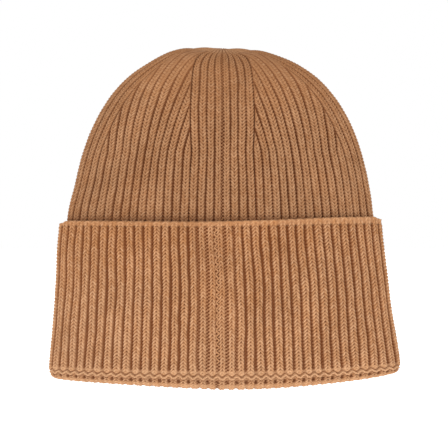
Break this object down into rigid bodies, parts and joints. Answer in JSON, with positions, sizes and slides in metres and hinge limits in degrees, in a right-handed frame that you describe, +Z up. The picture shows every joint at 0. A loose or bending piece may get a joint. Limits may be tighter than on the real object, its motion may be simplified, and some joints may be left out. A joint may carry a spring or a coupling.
{
  "type": "knitted beanie",
  "caption": "Rib-knitted beanie in camel yarn with a gathered round crown and a deep turned-up cuff that can be turned down.",
  "frame": {"origin": "centre of the floor contact, under the middle of the folded edge", "axes": "+Z up to the crown, -Y out of the face with the joining seam, X from side crease to side crease"},
  "size_m": [0.21, 0.092, 0.2039],
  "materials": {
    "cuff_rib": "soft wool-blend 1x1 rib, matt, camel",
    "body_rib": "soft wool-blend 1x1 rib, matt, camel, a shade darker",
    "seam_yarn": "the same yarn, linked or knotted"
  },
  "bodies": {
    "fold": {"cuff_fold": "cuff_rib", "turning_chain": "cuff_rib", "cuff_shell": "cuff_rib", "cuff_seam": "seam_yarn", "inner_band": "body_rib", "band_seam": "seam_yarn"},
    "free_edge": {"cuff_start_edge": "cuff_rib"},
    "crown": {"body_tube": "body_rib", "strip_front": "body_rib", "strip_back": "body_rib", "strip_left": "body_rib", "strip_right": "body_rib", "gore_front_left": "body_rib", "gore_front_right": "body_rib", "gore_back_left": "body_rib", "gore_back_right": "body_rib", "crown_tip": "body_rib", "gathering_yarn": "seam_yarn", "closing_knot": "seam_yarn", "crown_seam": "seam_yarn"}
  },
  "joints": [
    {"name": "turn_down", "type": "slide", "parent": "fold", "child": "crown", "axis": [0, 0, 1], "range_m": [0, 0.06], "deforming": ["inner_band", "band_seam"]},
    {"name": "edge_slide", "type": "slide", "parent": "fold", "child": "free_edge", "axis": [0, 0, -1], "range_m": [0, 0.06], "deforming": ["cuff_shell", "cuff_seam"]}
  ],
  "couplings": [
    {"joint": "edge_slide", "follows": "turn_down", "ratio": 1}
  ]
}
